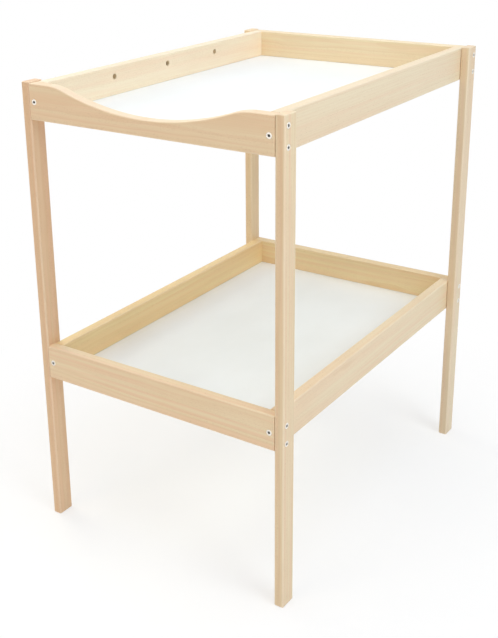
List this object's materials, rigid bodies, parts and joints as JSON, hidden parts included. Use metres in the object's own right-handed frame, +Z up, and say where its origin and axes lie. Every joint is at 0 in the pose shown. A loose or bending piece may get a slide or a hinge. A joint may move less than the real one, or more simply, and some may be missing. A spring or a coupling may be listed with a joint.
{
  "type": "changing table",
  "caption": "Open wooden nursery changing table: slim legs, an upper tray frame with a wave-cut front board, a lower tray frame and white panel shelves held by screws and grooves.",
  "frame": {"origin": "middle of the footprint, on the floor", "axes": "+Z up; +Y along the long side, away from the wave-cut board; +X across the short side, so the rail with the three holes is at -X"},
  "size_m": [0.53, 0.735, 0.86],
  "materials": {
    "leg_wood": "clear satin lacquer on fine-grained beech, grain up the leg",
    "board_wood": "clear satin lacquer on fine-grained beech, grain along the board",
    "white_shelf": "smooth white foil on thin fibreboard, satin",
    "screw_steel": "bright zinc plating"
  },
  "bodies": {
    "root": {"leg_front_left": "leg_wood", "leg_front_right": "leg_wood", "leg_back_left": "leg_wood", "leg_back_right": "leg_wood", "upper_front_panel": "board_wood", "upper_back_panel": "board_wood", "upper_left_rail": "board_wood", "upper_right_rail": "board_wood", "lower_front_panel": "board_wood", "lower_back_panel": "board_wood", "lower_left_rail": "board_wood", "lower_right_rail": "board_wood", "upper_shelf": "white_shelf", "lower_shelf": "white_shelf", "leg_screws_front_left": "screw_steel", "leg_screws_front_right": "screw_steel", "leg_screws_back_left": "screw_steel", "leg_screws_back_right": "screw_steel", "upper_front_screws": "screw_steel", "upper_back_screws": "screw_steel", "lower_front_screws": "screw_steel", "lower_back_screws": "screw_steel"}
  },
  "joints": []
}
